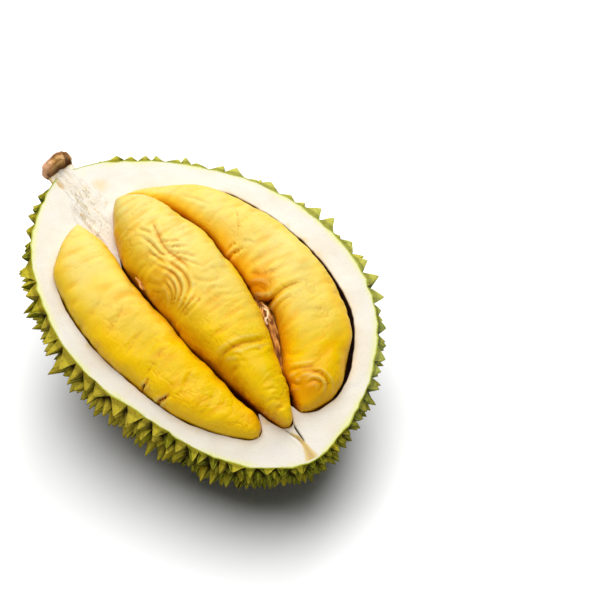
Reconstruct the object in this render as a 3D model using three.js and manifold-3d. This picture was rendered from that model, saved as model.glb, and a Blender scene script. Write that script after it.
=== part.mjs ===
import * as THREE from 'three';
import { mergeVertices } from 'three/addons/utils/BufferGeometryUtils.js';
import { ConvexHull } from 'three/addons/math/ConvexHull.js';
import Module from 'manifold-3d';

// Half a durian, cut lengthwise and lying on its spiny back. Millimetres, Z up.
// The fruit is drawn with the cut face in z = 0, the stem towards -X and the back below,
// then it is tipped into the pose it rests in.

const wasm = await Module();
wasm.setup();

// Cut outline: a mean radius with its second to fifth waves round the fruit, and two corners
// (angle, height, half-width) where it draws out to the stem and to the apex.
const OUTLINE_RADIUS = 93;
const OUTLINE_WAVES = [[2, 12.8, 5.4], [3, 0, -3.3], [4, 1.6, 0], [5, -0.2, -1.5]];
const OUTLINE_CORNERS = [[-3.0, 5, 0.13], [-0.12, 3.5, 0.12]];
const DEPTH = 82;

const RIND_THICKNESS = 2.6;
const CLEARANCE = 0.4;

const SPINE_COUNT = 720;
const SPINE_CHOICE = 12;
const SPINE_SPACING = 12.4;
const SPINE_HEIGHT = 11.5;
const SPINE_LEAN = 0.24;
const SPINE_DROOP = 0.12;
const RIM_HEIGHT_SHARE = 0.6;
const RELAX_ROUNDS = 40;
const SPINE_STRAY = 0.5;
const SPINE_SEED = 41;

const STEM_END = new THREE.Vector3(-110, -16.5, 0);
const STEM_BARE_REACH = 15;
const STEM_CROWDING = { reach: 85, shrink: 0.42 };
const APEX_END = new THREE.Vector3(109, -13, 0);
const APEX_CROWDING = { reach: 90, shrink: 0.6 };

// Resting pose: the stem end is raised, the right-hand side slightly so. The spines round the
// weight all reach the floor and are blunted there, over a small round patch.
const PITCH = THREE.MathUtils.degToRad(13.5);
const ROLL = THREE.MathUtils.degToRad(4.8);
const pose = new THREE.Matrix4().makeRotationY(PITCH)
  .multiply(new THREE.Matrix4().makeRotationX(ROLL));
const REST_TRIM = 5.5;
const REST_CENTRE = new THREE.Vector2(-7, 1);
const REST_REACH = 25;
const REST_BLUNTING = 2.6;

// Each pod and hollow is drawn as ribs across the cut face: x, y of the near edge, x, y of the far edge.
const POD_LEFT = {
  ribs: [
    [-82, -30, -82, -30], [-78, -42, -73, -28], [-66, -57, -58, -26.5], [-45, -65.5, -40, -28],
    [-15, -67.5, -10, -27.6], [20, -63, 20, -27.2], [47, -55.5, 46, -25.4], [66, -44.5, 63, -23.2],
    [75, -37, 72.5, -22.4], [79.5, -32.5, 78.5, -25], [81, -28.8, 81, -28.8],
  ],
  level: 1,
  rise: 16,
  sink: 36,
};
const POD_MIDDLE = {
  ribs: [
    [-80, -5, -80, -5], [-72, -12.5, -71, 7], [-58, -20.5, -57, 16], [-42, -25.5, -38, 20],
    [-15, -26, -12, 21.3], [15, -26, 16, 18.5], [40, -23.5, 42, 11], [61, -20.5, 62, 2.8],
    [72, -18.6, 72, -1.5], [80, -16.6, 80.5, -5.8], [84.5, -14.8, 85.6, -9.4], [86.6, -12, 86.6, -12],
  ],
  level: 4,
  rise: 24,
  sink: 52,
};
const POD_RIGHT = {
  ribs: [
    [-82, 3, -82, 3], [-71, 9, -74, 21], [-57, 18, -61, 39], [-38, 22.5, -45, 51],
    [-12, 23.8, -18, 61], [8, 22.5, 14, 65], [18, 22.8, 27, 64.2], [24, 25, 35, 62.8],
    [33, 22.3, 48, 59.5], [43, 16.5, 58, 55], [54, 9.5, 68, 47], [67, 3, 80.5, 33],
    [74.5, -0.2, 86.4, 21], [78.5, -1.5, 87.6, 10.8], [81.5, -1.6, 86.2, 3.6], [83.6, -0.8, 83.6, -0.8],
  ],
  level: 0,
  rise: 17,
  sink: 36,
};
// The hollow beside the right pod is wider than the pod along its outer edge.
const RIGHT_GAP = 3.2;
const CORE = {
  ribs: [
    [-118, -16.5, -118, -16.5], [-115, -22, -115, -11], [-107, -24, -107, -9], [-97, -26, -95, -6],
    [-84, -29, -79, -8], [-70, -28, -66, -16], [-57, -27, -55, -21.5], [-44, -27, -44, -27],
  ],
  level: 0,
  rise: 3,
  sink: 12,
};
// The walls between the hollows stop this far below the cut face, along these two lines.
const GULLY_DEPTH = 15;
const GULLY_LEFT = [[-62, -24.5], [-40, -26.8], [0, -27], [45, -24.8], [72, -22.5], [84, -21]];
const GULLY_RIGHT = [[-78, -1], [-62, 14], [-40, 21], [0, 22.5], [30, 17.5], [55, 8.5], [84, -9]];
const GULLY_HALF_WIDTH = 4.5;

// Stub: radius and distance out from the fruit's stem end.
const STEM_PROFILE = [
  [0, 12], [7.4, 12], [7.6, 0], [7.8, -5], [8.1, -7.8], [9.3, -9.2], [9.7, -11.2],
  [9, -13.4], [6.2, -14.6], [0, -15],
];
const STEM_CUT_LENGTH = 8;

function outline(angle) {
  let radius = OUTLINE_RADIUS;
  for (const [k, c, s] of OUTLINE_WAVES) {
    radius += c * Math.cos(k * angle) + s * Math.sin(k * angle);
  }
  for (const [centre, height, width] of OUTLINE_CORNERS) {
    radius += height * Math.exp((Math.cos(angle - centre) - 1) / width ** 2);
  }
  return radius;
}

// Skin point for a unit direction, moved inward by an inset.
function onBody(u, inset) {
  const radius = outline(Math.atan2(u.y, u.x)) - inset;
  return new THREE.Vector3(u.x * radius, u.y * radius, u.z * (DEPTH - inset));
}

// Unit direction of a point near the skin.
function toDirection(p) {
  const radius = outline(Math.atan2(p.y, p.x));
  return new THREE.Vector3(p.x / radius, p.y / radius, p.z / DEPTH).normalize();
}

// Outward normal from the gradient of (x, y)^2 / R(angle)^2 + z^2 / D^2.
function skinNormal(p) {
  const angle = Math.atan2(p.y, p.x);
  const radius = outline(angle);
  const slope = (outline(angle + 0.01) - outline(angle - 0.01)) / (0.02 * radius);
  return new THREE.Vector3(
    (p.x + slope * p.y) / radius ** 2,
    (p.y - slope * p.x) / radius ** 2,
    p.z / DEPTH ** 2,
  ).normalize();
}

let randomState = SPINE_SEED;
function random() {
  randomState = (randomState * 1664525 + 1013904223) % 4294967296;
  return randomState / 4294967296;
}

// Spines crowd and shrink towards the stem and the apex.
function crowding(p) {
  const stem = Math.exp(-p.distanceToSquared(STEM_END) / STEM_CROWDING.reach ** 2);
  const apex = Math.exp(-p.distanceToSquared(APEX_END) / APEX_CROWDING.reach ** 2);
  return 1 - STEM_CROWDING.shrink * stem - APEX_CROWDING.shrink * apex;
}

// Spine feet: chosen from a golden-angle spiral over the back, more often where spines crowd,
// then evened out by mutual pushes and strayed a little at random. Each foot is also pushed by the
// mirror images across the cut face, so no spine is sliced.
function placeSpines() {
  const choices = [];
  const filled = [0];
  for (let i = 0; i < SPINE_COUNT * SPINE_CHOICE; i += 1) {
    const z = -(i + 0.5) / (SPINE_COUNT * SPINE_CHOICE);
    const turn = i * Math.PI * (3 - Math.sqrt(5));
    const ring = Math.sqrt(1 - z * z);
    choices.push(onBody(new THREE.Vector3(ring * Math.cos(turn), ring * Math.sin(turn), z), 0));
    filled.push(filled[i] + crowding(choices[i]) ** -2);
  }
  const share = (SPINE_COUNT - 0.5) / filled[choices.length];
  const place = (i) => Math.floor(filled[i] * share + 0.5);
  let feet = choices.filter((p, i) => place(i + 1) > place(i));
  for (let round = 0; round < RELAX_ROUNDS; round += 1) {
    const reach = feet.map((p) => 1.25 * SPINE_SPACING * crowding(p));
    feet = feet.map((p, i) => {
      const push = new THREE.Vector3();
      feet.forEach((q, j) => {
        const far = (reach[i] + reach[j]) / 2;
        for (const side of [1, -1]) {
          const away = new THREE.Vector3(p.x - q.x, p.y - q.y, p.z - side * q.z);
          const gap = away.length();
          if (gap > 0 && gap < far) {
            push.addScaledVector(away, (1 - gap / far) / gap);
          }
        }
      });
      const moved = p.clone().addScaledVector(push, 0.3 * reach[i]);
      moved.z = Math.min(moved.z, -0.25 * reach[i]);
      return onBody(toDirection(moved), 0);
    });
  }
  return feet.map((p) => {
    const reach = SPINE_SPACING * crowding(p);
    const stray = new THREE.Vector3(random() - 0.5, random() - 0.5, random() - 0.5);
    const moved = p.clone().addScaledVector(stray, SPINE_STRAY * reach);
    moved.z = Math.min(moved.z, -0.25 * reach);
    return onBody(toDirection(moved), 0);
  });
}

const toSolid = (geometry) => {
  const bare = new THREE.BufferGeometry();
  bare.setAttribute('position', geometry.getAttribute('position'));
  bare.setIndex(geometry.getIndex());
  const welded = mergeVertices(bare, 1e-4);
  return new wasm.Manifold(new wasm.Mesh({
    numProp: 3,
    vertProperties: new Float32Array(welded.getAttribute('position').array),
    triVerts: new Uint32Array(welded.getIndex().array),
  }));
};

const toGeometry = (solid) => {
  const mesh = solid.getMesh();
  const geometry = new THREE.BufferGeometry();
  geometry.setAttribute('position', new THREE.BufferAttribute(new Float32Array(mesh.vertProperties), 3));
  geometry.setIndex(new THREE.BufferAttribute(new Uint32Array(mesh.triVerts), 1));
  return geometry;
};

const box = (x0, y0, z0, x1, y1, z1) => toSolid(
  new THREE.BoxGeometry(x1 - x0, y1 - y0, z1 - z0)
    .translate((x0 + x1) / 2, (y0 + y1) / 2, (z0 + z1) / 2),
);

// A whole egg of the fruit's form, drawn in from the skin by an inset.
function egg(inset) {
  const geometry = new THREE.SphereGeometry(1, 44, 22).rotateX(Math.PI / 2);
  const position = geometry.getAttribute('position');
  const u = new THREE.Vector3();
  for (let i = 0; i < position.count; i += 1) {
    const p = onBody(u.fromBufferAttribute(position, i).normalize(), inset);
    position.setXYZ(i, p.x, p.y, p.z);
  }
  return toSolid(geometry);
}

// Spine tips: along the skin's normal, leaning a little at random and away from the cut face.
function growTips(feet) {
  return feet.map((foot) => {
    const ease = RIM_HEIGHT_SHARE + (1 - RIM_HEIGHT_SHARE) * Math.min(1, -foot.z / 20);
    const height = SPINE_HEIGHT * crowding(foot) ** 0.75 * ease * (0.75 + 0.45 * random());
    const lean = new THREE.Vector3(random() - 0.5, random() - 0.5, random() - 0.5)
      .multiplyScalar(2 * SPINE_LEAN)
      .add(new THREE.Vector3(0, 0, -SPINE_DROOP));
    const share = foot.distanceTo(STEM_END) < STEM_BARE_REACH ? 0.25 : 1;
    const tip = foot.clone().addScaledVector(skinNormal(foot).add(lean), height * share);
    tip.z = Math.min(tip.z, -1.2);
    return tip;
  });
}

// In the resting pose: a point's height, and its distance from the upright line of the weight.
const heightOf = (p) => p.clone().applyMatrix4(pose).z;
const strayOf = (p) => {
  const q = p.clone().applyMatrix4(pose);
  return REST_CENTRE.distanceTo(new THREE.Vector2(q.x, q.y));
};

// Spines under the weight are drawn to one level just below the floor.
function settleTips(feet, tips, floor) {
  return tips.map((tip, i) => {
    if (strayOf(feet[i]) > REST_REACH) {
      return tip;
    }
    const foot = feet[i];
    const share = (floor - REST_BLUNTING - heightOf(foot)) / (heightOf(tip) - heightOf(foot));
    return foot.clone().lerp(tip, Math.max(share, 0.2));
  });
}

// The spiny fruit: each spine is a pyramid over its own cell of the skin. The hull of the feet
// says which spines are neighbours, and a cell corner lies level with three neighbouring feet.
function spinyFruit(feet, tips) {
  const mirror = (p) => new THREE.Vector3(p.x, p.y, -p.z);
  const allTips = [...tips, ...tips.map(mirror)];
  const directions = [...feet, ...feet.map(mirror)].map(toDirection);
  const order = new Map(directions.map((u, i) => [u, i]));
  const hull = new ConvexHull().setFromPoints(directions);
  const corner = (face) => onBody(face.normal, 0).multiplyScalar(100).round().divideScalar(100);
  const vertices = [];
  for (const face of hull.faces) {
    let edge = face.edge;
    for (let k = 0; k < 3; k += 1) {
      const a = corner(edge.twin.face);
      const b = corner(face);
      if (!a.equals(b)) {
        const tip = allTips[order.get(edge.tail().point)];
        vertices.push(tip.x, tip.y, tip.z, a.x, a.y, a.z, b.x, b.y, b.z);
      }
      edge = edge.next;
    }
  }
  const geometry = new THREE.BufferGeometry();
  geometry.setAttribute('position', new THREE.Float32BufferAttribute(vertices, 3));
  return toSolid(geometry);
}

// A pod swept through its ribs: across each rib the section is a rounded dome above the rib's
// level and a deeper keel below it. Growing it along its normals makes the hollow it lies in.
function loft({ ribs, level, rise, sink }, grow, stations, around) {
  const near = new THREE.CatmullRomCurve3(ribs.map(([x, y]) => new THREE.Vector3(x, y, 0)));
  const far = new THREE.CatmullRomCurve3(ribs.map(([, , x, y]) => new THREE.Vector3(x, y, 0)));
  const rows = [];
  for (let i = 1; i < stations; i += 1) {
    const t = (1 - Math.cos((Math.PI * i) / stations)) / 2;
    rows.push([near.getPoint(t), far.getPoint(t)]);
  }
  const widest = Math.max(...rows.map(([a, b]) => a.distanceTo(b)));
  const vertices = [near.getPoint(0).setZ(level)];
  rows.forEach(([a, b]) => {
    const tall = (a.distanceTo(b) / widest) ** 0.55;
    for (let j = 0; j < around; j += 1) {
      const turn = (2 * Math.PI * j) / around;
      const across = Math.sign(Math.cos(turn)) * Math.abs(Math.cos(turn)) ** 0.85;
      const up = Math.sign(Math.sin(turn)) * Math.abs(Math.sin(turn)) ** 0.9;
      const p = a.clone().lerp(b, (1 - across) / 2);
      vertices.push(p.setZ(level + tall * (up > 0 ? rise : sink) * up));
    }
  });
  vertices.push(near.getPoint(1).setZ(level));
  const index = [];
  const last = vertices.length - 1;
  for (let j = 0; j < around; j += 1) {
    const k = (j + 1) % around;
    index.push(0, 1 + j, 1 + k);
    for (let i = 0; i + 2 < stations; i += 1) {
      const row = 1 + i * around;
      index.push(row + j, row + around + j, row + around + k);
      index.push(row + j, row + around + k, row + k);
    }
    index.push(last, last - around + k, last - around + j);
  }
  const geometry = new THREE.BufferGeometry().setFromPoints(vertices);
  geometry.setIndex(index);
  geometry.computeVertexNormals();
  const position = geometry.getAttribute('position');
  const normal = geometry.getAttribute('normal');
  for (let i = 0; i < position.count; i += 1) {
    position.setXYZ(
      i,
      position.getX(i) + grow * normal.getX(i),
      position.getY(i) + grow * normal.getY(i),
      position.getZ(i) + grow * normal.getZ(i),
    );
  }
  return toSolid(geometry);
}

// A round-bottomed trough along a line of the cut face, open at the top.
function gully(line) {
  const ribs = line.map(([x, y]) => [x, y - GULLY_HALF_WIDTH, x, y + GULLY_HALF_WIDTH]);
  const [x0, y0] = line[0];
  const [x1, y1] = line[line.length - 1];
  ribs[0] = [x0, y0, x0, y0];
  ribs[ribs.length - 1] = [x1, y1, x1, y1];
  return loft({ ribs, level: 0, rise: 6, sink: GULLY_DEPTH }, 0, 20, 12);
}

// The stub is round at its collar and sliced lengthwise, with the fruit, below it.
function stemStub(grow) {
  const points = STEM_PROFILE.map(([r, y], i) => {
    const end = i === 0 || i === STEM_PROFILE.length - 1;
    return new THREE.Vector2(end ? 0 : r + grow, y > 0 ? y + grow : y);
  }).reverse();
  const lathe = new THREE.LatheGeometry(points, 24)
    .rotateZ(-Math.PI / 2)
    .translate(STEM_END.x, STEM_END.y, 0);
  const sliced = box(STEM_END.x - STEM_CUT_LENGTH, -60, grow, 0, 40, 40);
  return toSolid(lathe).subtract(sliced);
}

const above = box(-300, -300, 0, 300, 300, 300);
const pods = [
  ['aril_left', POD_LEFT],
  ['aril_middle', POD_MIDDLE],
  ['aril_right', POD_RIGHT],
];
const widened = {
  ...POD_RIGHT,
  ribs: POD_RIGHT.ribs.map(([x0, y0, x1, y1], i) => {
    const share = Math.sin((Math.PI * i) / (POD_RIGHT.ribs.length - 1));
    const reach = Math.hypot(x1, y1);
    return [x0, y0, x1 * (1 + (RIGHT_GAP * share) / reach), y1 * (1 + (RIGHT_GAP * share) / reach)];
  }),
};

const socket = stemStub(CLEARANCE);
const feet = placeSpines();
const grown = growTips(feet);
const floor = Math.min(...grown.map(heightOf)) + REST_TRIM;
const tips = settleTips(feet, grown, floor);
const rindSolid = spinyFruit(feet, tips)
  .subtract(above)
  .subtract(egg(RIND_THICKNESS))
  .subtract(socket);

// The core lies on top of the skin's rim and of the sliced stub where it passes over them.
const pithEgg = egg(RIND_THICKNESS + CLEARANCE);
const skinSide = box(-300, -300, -300, 300, 300, CLEARANCE).subtract(pithEgg);
const core = loft(CORE, 0, 20, 16).subtract(skinSide);

let pithSolid = pithEgg.subtract(above).add(core).subtract(socket);
for (const [, pod] of pods) {
  pithSolid = pithSolid.subtract(loft(pod, CLEARANCE, 26, 22));
}
pithSolid = pithSolid.subtract(loft(widened, 2 * CLEARANCE, 26, 22));
pithSolid = pithSolid.subtract(gully(GULLY_LEFT)).subtract(gully(GULLY_RIGHT));

// The fruit is tipped into its resting pose, and its origin is the blunt tip nearest the weight.
const posed = (solid) => toGeometry(solid).applyMatrix4(pose);
const rested = toSolid(posed(rindSolid)).subtract(box(-300, -300, floor - 100, 300, 300, floor));
const near = tips.reduce((best, tip, i) => (strayOf(tip) < strayOf(tips[best]) ? i : best), 0);
const reach = (floor - heightOf(feet[near])) / (heightOf(tips[near]) - heightOf(feet[near]));
const origin = feet[near].clone().lerp(tips[near], reach).applyMatrix4(pose);

const group = new THREE.Group();
group.name = 'durian_half';

function addNode(name, geometry, color, roughness) {
  geometry.translate(-origin.x, -origin.y, -floor);
  const flat = geometry.toNonIndexed();
  flat.computeVertexNormals();
  const material = new THREE.MeshStandardMaterial({ color, roughness, metalness: 0 });
  const mesh = new THREE.Mesh(flat, material);
  mesh.name = name;
  group.add(mesh);
}

addNode('rind', toGeometry(rested), 0x7f8b2c, 0.6);
addNode('pith', posed(pithSolid), 0xf3ead6, 0.85);
for (const [name, pod] of pods) {
  addNode(name, posed(loft(pod, 0, 26, 22)), 0xf2bd2a, 0.42);
}
addNode('stem', posed(stemStub(0)), 0x8a5a2e, 0.8);

export default group;
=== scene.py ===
import bmesh
import bpy
import numpy as np
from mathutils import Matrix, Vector


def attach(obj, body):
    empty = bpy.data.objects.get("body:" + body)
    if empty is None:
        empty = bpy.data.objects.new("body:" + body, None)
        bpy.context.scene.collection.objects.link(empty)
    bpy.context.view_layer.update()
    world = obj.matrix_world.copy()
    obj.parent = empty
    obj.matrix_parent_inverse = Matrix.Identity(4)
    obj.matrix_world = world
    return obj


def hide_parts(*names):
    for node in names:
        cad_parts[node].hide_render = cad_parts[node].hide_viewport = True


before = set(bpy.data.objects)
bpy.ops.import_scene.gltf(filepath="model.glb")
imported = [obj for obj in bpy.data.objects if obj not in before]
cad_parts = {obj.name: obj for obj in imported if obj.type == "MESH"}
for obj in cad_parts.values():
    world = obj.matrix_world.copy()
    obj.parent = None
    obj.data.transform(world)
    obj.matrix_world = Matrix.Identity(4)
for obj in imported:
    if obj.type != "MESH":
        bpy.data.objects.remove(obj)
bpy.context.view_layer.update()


# Rind: the tough green skin, grown in one piece with hundreds of pointed spines that crowd together at the
# stem and the apex. A knife cut it lengthwise and left a thin lime line round the rim. Sizes are millimetres
# in the fruit's own frame: the cut face at z = 0, the stem towards -X and the spiny back below.
PITCH = np.radians(13.5)
ROLL = np.radians(4.8)
REST_POINT = np.array([-1.915, 2.3697, -92.2779])
OUTLINE_RADIUS = 93.0
OUTLINE_WAVES = ((2, 12.8, 5.4), (3, 0.0, -3.3), (4, 1.6, 0.0), (5, -0.2, -1.5))
OUTLINE_CORNERS = ((-3.0, 5.0, 0.13), (-0.12, 3.5, 0.12))
FRUIT_DEPTH = 82.0
RIND_THICKNESS = 2.6
SPINE_COUNT = 720
SPINE_SPACING = 12.4
SPINE_CHOICE = 12
SPINE_HEIGHT = 11.5
SPINE_LEAN = 0.24
SPINE_DROOP = 0.12
SPINE_ROUNDNESS = 0.4
SPINE_CURL = 0.45
RIM_HEIGHT_SHARE = 0.6
RIM_FADE_DEPTH = 20.0
RIM_CLEARANCE = 0.25
RIM_TIP_LEVEL = -1.2
RELAX_ROUNDS = 40
RELAX_REACH = 1.25
RELAX_STEP = 0.3
SPINE_STRAY = 0.5
SPINE_SEED = 41
STEM_END = np.array([-110.0, -16.5, 0.0])
STEM_CROWDING = (0.42, 85.0)
STEM_BARE_REACH = 15.0
STEM_BARE_SHARE = 0.25
APEX_END = np.array([109.0, -13.0, 0.0])
APEX_CROWDING = (0.6, 90.0)
REST_CENTRE = np.array([-7.0, 1.0])
REST_REACH = 25.0
REST_BLUNTING = 2.6

PITCH_TURN = np.array(
    [[np.cos(PITCH), 0, np.sin(PITCH)], [0, 1, 0], [-np.sin(PITCH), 0, np.cos(PITCH)]])
ROLL_TURN = np.array(
    [[1, 0, 0], [0, np.cos(ROLL), -np.sin(ROLL)], [0, np.sin(ROLL), np.cos(ROLL)]])
LYING_TURN = PITCH_TURN @ ROLL_TURN


def lying(points):
    """Points of the fruit as the half lies on the table: rolled, pitched, set down on the rest point."""
    return points @ LYING_TURN.T - REST_POINT


def unit(vectors):
    """Each vector divided by its own length."""
    return vectors / np.linalg.norm(vectors, axis=-1, keepdims=True)


def outline(angle):
    """Radius of the cut outline: a mean radius, four pairs of cosine and sine waves, and two corners,
    each a narrow bump round its own angle."""
    radius = np.full_like(angle, OUTLINE_RADIUS)
    for count, cosine, sine in OUTLINE_WAVES:
        radius += cosine * np.cos(count * angle) + sine * np.sin(count * angle)
    for centre, height, width in OUTLINE_CORNERS:
        radius += height * np.exp((np.cos(angle - centre) - 1) / width ** 2)
    return radius


def on_skin(ways, inset=0.0):
    """Skin point in each unit direction: its x and y times the outline's radius, its z times the depth,
    both less the inset."""
    x, y, z = ways[..., 0], ways[..., 1], ways[..., 2]
    radius = outline(np.arctan2(y, x)) - inset
    return np.stack([x * radius, y * radius, z * (FRUIT_DEPTH - inset)], -1)


def skin_way(points):
    """The unit direction that on_skin takes to a point: x and y over the outline's radius, z over the
    depth."""
    radius = outline(np.arctan2(points[..., 1], points[..., 0]))
    return unit(points / np.stack([radius, radius, np.full_like(radius, FRUIT_DEPTH)], -1))


def skin_normal(points):
    """Outward normal of the skin: the gradient of the egg's equation, with the outline's slope let in."""
    x, y, z = points[..., 0], points[..., 1], points[..., 2]
    angle = np.arctan2(y, x)
    radius = outline(angle)
    slope = (outline(angle + 0.01) - outline(angle - 0.01)) / (0.02 * radius)
    along_x, along_y = (x + slope * y) / radius ** 2, (y - slope * x) / radius ** 2
    return unit(np.stack([along_x, along_y, z / FRUIT_DEPTH ** 2], -1))


def crowding(points):
    """Spine size against the full size: one, less a bell round the stem and a bell round the apex."""
    stem = np.linalg.norm(points - STEM_END, axis=-1) / STEM_CROWDING[1]
    apex = np.linalg.norm(points - APEX_END, axis=-1) / APEX_CROWDING[1]
    return 1 - STEM_CROWDING[0] * np.exp(-stem ** 2) - APEX_CROWDING[0] * np.exp(-apex ** 2)


def spine_draws(count):
    """The seeded stream of numbers from 0 to 1 that the spines take their stray, height and lean from."""
    state = SPINE_SEED
    draws = []
    for _ in range(count):
        state = (state * 1664525 + 1013904223) % 4294967296
        draws.append(state / 4294967296)
    return np.array(draws)


def spine_feet():
    """Feet of the spines: chosen from a golden-angle spiral over the back, more often where spines crowd,
    then rounds in which each foot is pushed from its near neighbours, and from the mirror images behind the
    cut, by how much it crowds them. At last each strays a little at random."""
    number = np.arange(SPINE_COUNT * SPINE_CHOICE)
    level = -(number + 0.5) / len(number)
    turn = number * np.pi * (3 - np.sqrt(5))
    ring = np.sqrt(1 - level ** 2)
    feet = on_skin(np.stack([ring * np.cos(turn), ring * np.sin(turn), level], -1))
    filled = np.cumsum(crowding(feet) ** -2)
    filled = np.floor(filled / filled[-1] * (SPINE_COUNT - 0.5) + 0.5)
    feet = feet[np.diff(filled, prepend=0) > 0]
    for _ in range(RELAX_ROUNDS):
        reach = RELAX_REACH * SPINE_SPACING * crowding(feet)
        others = np.concatenate([feet, feet * [1, 1, -1]])
        far = (reach[:, None] + np.tile(reach, 2)) / 2
        away = feet[:, None] - others
        gap = np.linalg.norm(away, axis=-1)
        push = np.where((gap > 0) & (gap < far), (1 - gap / far) / np.maximum(gap, 1e-9), 0)
        feet = feet + RELAX_STEP * reach[:, None] * (away * push[..., None]).sum(1)
        feet[:, 2] = np.minimum(feet[:, 2], -RIM_CLEARANCE * reach)
        feet = on_skin(skin_way(feet))
    reach = SPINE_SPACING * crowding(feet)
    stray = spine_draws(3 * SPINE_COUNT).reshape(-1, 3) - 0.5
    feet = feet + stray * SPINE_STRAY * reach[:, None]
    feet[:, 2] = np.minimum(feet[:, 2], -RIM_CLEARANCE * reach)
    return on_skin(skin_way(feet))


def spine_tips(feet):
    """Tips: out from each foot along the normal with a random lean and a droop, shorter at the rim. Under
    the weight of the half they end at one level."""
    draws = spine_draws(7 * SPINE_COUNT)[3 * SPINE_COUNT:].reshape(-1, 4)
    ease = RIM_HEIGHT_SHARE + (1 - RIM_HEIGHT_SHARE) * np.minimum(1, -feet[:, 2] / RIM_FADE_DEPTH)
    height = SPINE_HEIGHT * crowding(feet) ** 0.75 * ease * (0.75 + 0.45 * draws[:, 0])
    bare = np.linalg.norm(feet - STEM_END, axis=-1) < STEM_BARE_REACH
    height = height * np.where(bare, STEM_BARE_SHARE, 1)
    lean = (draws[:, 1:] - 0.5) * 2 * SPINE_LEAN + [0, 0, -SPINE_DROOP]
    tips = feet + (skin_normal(feet) + lean) * height[:, None]
    tips[:, 2] = np.minimum(tips[:, 2], RIM_TIP_LEVEL)
    stray = np.linalg.norm((feet @ LYING_TURN.T)[:, :2] - REST_CENTRE, axis=-1)
    low_foot, low_tip = lying(feet)[:, 2], lying(tips)[:, 2]
    share = np.maximum((-REST_BLUNTING - low_foot) / (low_tip - low_foot), 0.2)
    return np.where((stray > REST_REACH)[:, None], tips, feet + (tips - feet) * share[:, None])


def cell_edges(feet):
    """The straight edges between the cells of neighbouring spines, from the hull of the feet and their
    mirror images: for each, the foot, the neighbour, and the directions of the edge's two ends."""
    ways = skin_way(np.concatenate([feet, feet * [1, 1, -1]]))
    hull = bmesh.new()
    for way in ways:
        hull.verts.new(way)
    hull.verts.index_update()
    bmesh.ops.convex_hull(hull, input=hull.verts)
    bmesh.ops.triangulate(hull, faces=hull.faces)
    sides = np.array([[vertex.index for vertex in face.verts] for face in hull.faces])
    hull.free()
    normal = np.cross(ways[sides[:, 1]] - ways[sides[:, 0]], ways[sides[:, 2]] - ways[sides[:, 0]])
    inward = (normal * ways[sides[:, 0]]).sum(-1) < 0
    sides[inward] = sides[inward][:, ::-1]
    corner = unit(np.where(inward[:, None], -normal, normal))
    tail, head = sides.ravel(), np.roll(sides, -1, axis=1).ravel()
    face = np.repeat(np.arange(len(sides)), 3)
    key, twin_key = tail * len(ways) + head, head * len(ways) + tail
    order = np.argsort(key)
    twin = face[order[np.searchsorted(key[order], twin_key)]]
    kept = (tail < SPINE_COUNT) & (np.linalg.norm(corner[face] - corner[twin], axis=-1) > 1e-4)
    return tail[kept], head[kept], corner[twin][kept], corner[face][kept]


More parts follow.
